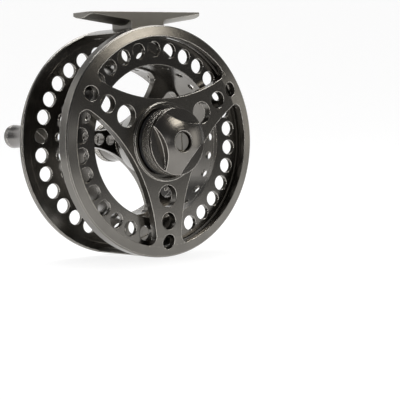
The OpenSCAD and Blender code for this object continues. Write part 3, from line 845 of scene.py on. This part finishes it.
@dataclass
class SpoolCap(Assembly):
    """The cap that holds the spool on: a knurled button with a coin slot."""

    radius: float = 8.5 * MM
    back: float = 34.7 * MM
    height: float = 4.2 * MM
    boss: float = 4.0 * MM
    boss_end: float = 33.95 * MM
    bore: float = 2.55 * MM
    bore_end: float = 37.15 * MM
    groove: tuple[float, float] = (6.38 * MM, 7.42 * MM)
    groove_depth: float = 0.72 * MM
    slot_width: float = 1.8 * MM
    slot_depth: float = 1.0 * MM
    chamfer: float = 0.9 * MM
    break_edge: float = 0.3 * MM
    diamonds: int = 60
    diamond_length: float = 0.9 * MM
    knurl_from: float = 0.4 * MM
    knurl_groove: float = 0.22 * MM

    def profile(self) -> np.ndarray:
        """The cap's half section, from the bore's end round to the middle of its crown."""
        top = self.back + self.height
        low, high = self.groove
        loop = [(0.0, self.bore_end), (self.bore, self.bore_end), (self.bore, self.boss_end),
                (self.boss, self.boss_end), (self.boss, self.back), (low, self.back),
                (low, self.back + self.groove_depth), (high, self.back + self.groove_depth),
                (high, self.back), (self.radius - self.break_edge, self.back)]
        loop += between((self.radius, self.back + self.break_edge), (self.radius, top - self.chamfer), 16)
        loop += [(self.radius, top - self.chamfer)]
        loop += [(self.radius - self.chamfer * (1 - math.cos(a)), top - self.chamfer * (1 - math.sin(a)))
                 for a in np.linspace(0.2, math.pi / 2, 6)]
        loop += [(self.radius * 0.5, top), (0.0, top)]
        return np.array(loop)

    def build(self) -> None:
        """Makes the cap."""
        relief = knurl(self.diamonds, self.diamond_length, self.back + self.knurl_from,
                       self.back + self.height - self.chamfer, self.knurl_groove)
        profile = self.profile()
        cap = Surface.turned("cap", self.spin, profile, self.diamonds * 7, closed=False,
                             relief=on_wall(relief, profile, self.radius))
        Surface.cut(cap, [self.slot_cutter()])
        self.keep(cap, "gunmetal_knob", "spool_cap")

    def slot_cutter(self) -> bpy.types.Object:
        """A bar across the crown, for the coin slot."""
        half = np.array([self.slot_width / 2, 0.0, self.radius * 1.2])
        top = self.spin.front + self.back + self.height
        corners = np.array([(a, b, c) for a in (-1, 1) for b in (0, 1) for c in (-1, 1)], float)
        points = corners * half + np.array([self.spin.x, 0.0, self.spin.z])
        points[:, 1] = np.where(corners[:, 1] > 0, top + MM, top - self.slot_depth)
        faces = np.array([(0, 1, 3, 2), (4, 6, 7, 5), (0, 4, 5, 1),
                          (2, 3, 7, 6), (0, 2, 6, 4), (1, 5, 7, 3)])
        return Surface.mesh("slot_cutter", points, faces)


@dataclass
class Handle(Assembly):
    """The turning grip, waisted, with fine lines near its ends."""

    grip: Axis
    radius: float = 4.9 * MM
    bore: float = 2.45 * MM
    start: float = 35.65 * MM
    end: float = 54.05 * MM
    waist: float = 0.5 * MM
    recess: float = 3.9 * MM
    recess_floor: float = 51.85 * MM
    lines: tuple[float, ...] = (1.6 * MM, 2.3 * MM)
    line_depth: float = 0.12 * MM
    line_width: float = 0.09 * MM
    corner: float = 0.5 * MM
    recess_edge: float = 0.2 * MM

    def profile(self) -> np.ndarray:
        """The grip's half section. Its waist is waist * cos^2 of the way from the middle."""
        corner = self.corner
        depth = np.linspace(self.start + corner, self.end - corner, 150)
        middle, half = (self.start + self.end) / 2, (self.end - self.start) / 2 - corner
        radius = self.radius - self.waist * np.cos((depth - middle) / half * math.pi / 2) ** 2
        for line in self.lines:
            for at in (self.start + line, self.end - line):
                radius = radius - self.line_depth * np.exp(-((depth - at) / self.line_width) ** 2)
        front = [(self.radius - corner * (1 - math.sin(a)), self.start + corner * (1 - math.cos(a)))
                 for a in np.linspace(0.1, math.pi / 2, 5, endpoint=False)]
        back = [(self.radius - corner * (1 - math.cos(a)), self.end - corner * (1 - math.sin(a)))
                for a in np.linspace(0.1, math.pi / 2, 5)]
        loop = [(self.bore, self.start), (self.radius - corner, self.start)] + front
        loop += list(zip(radius.tolist(), depth.tolist())) + back
        loop += [(self.recess + self.recess_edge, self.end), (self.recess, self.end - self.recess_edge),
                 (self.recess, self.recess_floor), (self.bore, self.recess_floor)]
        return np.array(loop)

    def build(self) -> None:
        """Makes the grip."""
        grip = Surface.turned("grip", self.grip, self.profile(), 96)
        self.keep(grip, "gunmetal_grip", "handle_grip")


@dataclass
class FrameShell(Assembly):
    """The frame's ring and spokes as the one machined piece that they are."""

    def build(self, nodes: dict[str, bpy.types.Object]) -> None:
        """Joins copies of the two nodes, so that no seam shows between them.

        Args:
            nodes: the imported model's nodes.
        """
        ring, plate = (self.copy_of(nodes[name]) for name in ("frame_ring", "frame_spokes_plate"))
        ring.name = "frame_shell"
        Surface.join(ring, plate)
        self.crease(ring)
        self.keep(ring, "gunmetal_frame", "frame_ring", "frame_spokes_plate")

    @staticmethod
    def crease(piece: bpy.types.Object) -> None:
        """Keeps the flat faces flat: their edges are sharp from FLAT_FACE_SHARP_ANGLE.

        Args:
            piece: the joined frame.
        """
        shape = bmesh.new()
        shape.from_mesh(piece.data)
        for edge in shape.edges:
            flat = any(abs(face.normal.y) > 0.5 for face in edge.link_faces)
            if flat and edge.calc_face_angle(0.0) > math.radians(FLAT_FACE_SHARP_ANGLE):
                edge.smooth = False
        shape.to_mesh(piece.data)
        shape.free()

    @staticmethod
    def copy_of(node: bpy.types.Object) -> bpy.types.Object:
        """A closed copy of a node's mesh, with its points merged.

        Args:
            node: the CAD node.

        Returns:
            The copy, at the origin.
        """
        mesh = node.data.copy()
        mesh.transform(node.matrix_world)
        mesh.materials.clear()
        shape = bmesh.new()
        shape.from_mesh(mesh)
        bmesh.ops.remove_doubles(shape, verts=shape.verts, dist=1e-6)
        shape.to_mesh(mesh)
        shape.free()
        piece = bpy.data.objects.new("shell_copy", mesh)
        bpy.context.scene.collection.objects.link(piece)
        return piece


@dataclass
class ClickSpring(Assembly):
    """The coil spring behind the click pin."""

    turns: float = 5.5
    wire: float = 0.11 * MM
    steps: int = 180
    closed_end: float = 0.12

    def build(self) -> None:
        """Makes the coil: x = c + r cos a, z = c + r sin a, with y rising evenly with a."""
        low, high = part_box("click_spring")
        radius = (high.x - low.x) / 2 - self.wire
        angle = np.linspace(0.0, 2.0 * math.pi * self.turns, self.steps)
        rise = np.clip(np.linspace(-self.closed_end, 1.0 + self.closed_end, self.steps), 0.0, 1.0)
        y = low.y + self.wire + rise * (high.y - low.y - 2.0 * self.wire)
        middle_x, middle_z = (low.x + high.x) / 2, (low.z + high.z) / 2
        path = np.stack((middle_x + radius * np.cos(angle), y, middle_z + radius * np.sin(angle)), axis=1)
        spring = Surface.swept("click_coil", path, self.wire, 10)
        self.keep(spring, "spring_steel", "click_spring")


@dataclass
class CarriedNodes:
    """The CAD nodes that are right as they are, and only take their finish."""

    finishes: Finishes
    record: dict

    def build(self, nodes: dict[str, bpy.types.Object]) -> None:
        """Dresses every node that is still shown.

        Args:
            nodes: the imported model's nodes.
        """
        slots = {part["node"]: part["material_slot"] for part in self.record["subparts"]}
        for name, piece in nodes.items():
            if not piece.hide_render:
                self.finishes.dress(piece, slots[name])
                LOG.info("%s keeps its shape and takes %s", name, slots[name])


@dataclass(frozen=True)
class SoftBox:
    """One rectangular soft light that faces a point."""

    name: str
    place: tuple[float, float, float]
    aim: tuple[float, float, float]
    width: float
    height: float
    radiance: float
    colour: Colour = (1.0, 1.0, 1.0)

    def build(self) -> None:
        """Makes the light. Its power is pi * area * radiance."""
        lamp = bpy.data.lights.new(self.name, "AREA")
        lamp.shape, lamp.size, lamp.size_y = "RECTANGLE", self.width, self.height
        lamp.energy = math.pi * self.width * self.height * self.radiance
        lamp.color = self.colour
        holder = bpy.data.objects.new(self.name, lamp)
        way = Vector(self.aim) - Vector(self.place)
        holder.location = self.place
        holder.rotation_euler = way.to_track_quat("-Z", "Y").to_euler()
        bpy.context.scene.collection.objects.link(holder)


@dataclass
class Studio:
    """The floor sweep, the lights and the camera."""

    camera_place: tuple[float, float, float] = (-0.37539, -0.50330, -0.03752)
    camera_aim: tuple[float, float, float] = (0.01057, -0.02372, -0.07782)
    camera_roll: float = 2.065
    lens: float = 135.43
    sweep_radius: float = 0.45
    sweep_back: float = 0.9
    sweep_angles: tuple[float, float] = (5.0, 125.0)
    wide_floor: float = 2.5
    near_floor: float = 0.26

    def camera(self) -> None:
        """Makes the camera, with its roll clockwise about the line of sight."""
        data = bpy.data.cameras.new("camera")
        data.lens, data.sensor_width = self.lens, 36.0
        data.clip_start, data.clip_end = 0.02, 20.0
        holder = bpy.data.objects.new("camera", data)
        ahead = (Vector(self.camera_aim) - Vector(self.camera_place)).normalized()
        level_side = ahead.cross(Vector((0.0, 0.0, 1.0))).normalized()
        level_up = level_side.cross(ahead)
        roll = math.radians(self.camera_roll)
        side = math.cos(roll) * level_side - math.sin(roll) * level_up
        up = math.cos(roll) * level_up + math.sin(roll) * level_side
        turn = Matrix((side, up, -ahead)).transposed()
        holder.matrix_world = Matrix.Translation(self.camera_place) @ turn.to_4x4()
        bpy.context.scene.collection.objects.link(holder)
        bpy.context.scene.camera = holder

    def floor(self, height: float) -> None:
        """Makes the curved wall, the wide floor and a small floor right under the reel.

        The wall's section is flat, then a quarter circle that rises by R (1 - cos a), then upright.
        The metal mirrors only the small floor, so that its upper faces stay dark.

        Args:
            height: the height of the floor.
        """
        flat, bend = self.sweep_back, self.sweep_radius
        turn = np.linspace(0.0, math.pi / 2, 24)[1:]
        radius = np.concatenate((np.linspace(0.0, flat, 20), flat + bend * np.sin(turn),
                                 np.full(6, flat + bend)))
        rise = np.concatenate((np.zeros(20), bend * (1 - np.cos(turn)), bend + np.linspace(0.1, 0.5, 6)))
        angle = np.radians(np.linspace(*self.sweep_angles, 60))[None, :]
        radius, rise = radius[:, None], rise[:, None]
        parts = (radius * np.cos(angle), radius * np.sin(angle), height + rise)
        points = np.stack(np.broadcast_arrays(*parts), axis=-1)
        wall = Surface.mesh("sweep_wall", points.reshape(-1, 3),
                            Surface.grid_faces(len(radius), 60, False, False))
        ground = self.square("sweep_floor", self.wide_floor, height - 0.0002)
        ground.visible_glossy = False
        near = self.square("near_floor", self.near_floor, height - 0.0001)
        paper = Paper("paper", (0.22, 0.22, 0.22), 0.84).build()
        for piece in (wall, ground, near):
            piece.data.materials.append(paper)
            piece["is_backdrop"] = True

    @staticmethod
    def square(name: str, half: float, height: float) -> bpy.types.Object:
        """A level square about the origin.

        Args:
            name: the object's name.
            half: half of its side.
            height: its height.

        Returns:
            The object.
        """
        side = np.linspace(-half, half, 30)
        x, y = np.meshgrid(side, side, indexing="ij")
        points = np.stack((x, y, np.full_like(x, height)), axis=-1).reshape(-1, 3)
        return Surface.mesh(name, points, Surface.grid_faces(30, 30, False, False))

    def lights(self) -> None:
        """Makes the soft boxes and the dim room."""
        middle = (0.0, 0.0, -0.053)
        boxes = [
            SoftBox("top_box", (0.10, 0.15, 0.65), middle, 0.75, 0.6, 4.2),
            SoftBox("right_box", (0.82, -0.42, -0.02), middle, 0.46, 0.30, 1.1, (1.0, 0.98, 0.93)),
            SoftBox("ring_box", (0.42, -0.68, 0.40), middle, 0.34, 0.20, 5.0, (1.0, 0.95, 0.86)),
            SoftBox("left_strip", (-0.75, 0.25, 0.10), middle, 0.12, 0.8, 3.5),
            SoftBox("left_front_strip", (-0.80, -0.60, 0.0), middle, 0.12, 0.5, 4.0),
            SoftBox("front_low_box", (-0.10, -0.95, -0.02), middle, 0.5, 0.10, 1.0),
        ]
        for box in boxes:
            box.build()
        world = bpy.data.worlds.new("room")
        bpy.context.scene.world = world
        world.use_nodes = True
        room = world.node_tree.nodes["Background"]
        room.inputs["Color"].default_value = (0.98, 0.98, 1.0, 1.0)
        room.inputs["Strength"].default_value = 0.07

    def build(self, height: float) -> None:
        """Makes the whole studio.

        Args:
            height: the height of the floor.
        """
        self.camera()
        self.floor(height)
        self.lights()
        view = bpy.context.scene.view_settings
        view.view_transform, view.look = "Standard", "None"


def main() -> None:
    """Builds the reel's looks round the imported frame."""
    logging.basicConfig(level=logging.INFO, format="%(name)s: %(message)s")
    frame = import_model()
    low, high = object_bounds()
    cad_box = [list(low), list(high)]

    cage_low, cage_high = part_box("drag_discs")
    post_low, post_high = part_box("handle_post")
    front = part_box("frame_spokes_plate")[0].y + 3.0 * MM
    spin = Axis((cage_low.x + cage_high.x) / 2, (cage_low.z + cage_high.z) / 2, front)
    grip = Axis((post_low.x + post_high.x) / 2, (post_low.z + post_high.z) / 2, front)
    finishes = Finishes(spin, grip)
    finishes.build()

    DragKnob("knob", finishes, spin).build()
    SpoolCap("cap", finishes, spin).build()
    Handle("handle", finishes, spin, grip).build()
    ClickSpring("frame", finishes, spin).build()
    FrameShell("frame", finishes, spin).build(frame["nodes"])
    CarriedNodes(finishes, frame["record"]).build(frame["nodes"])

    low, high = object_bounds()
    Studio().build(cad_box[0][2])


if __name__ == "__main__":
    main()
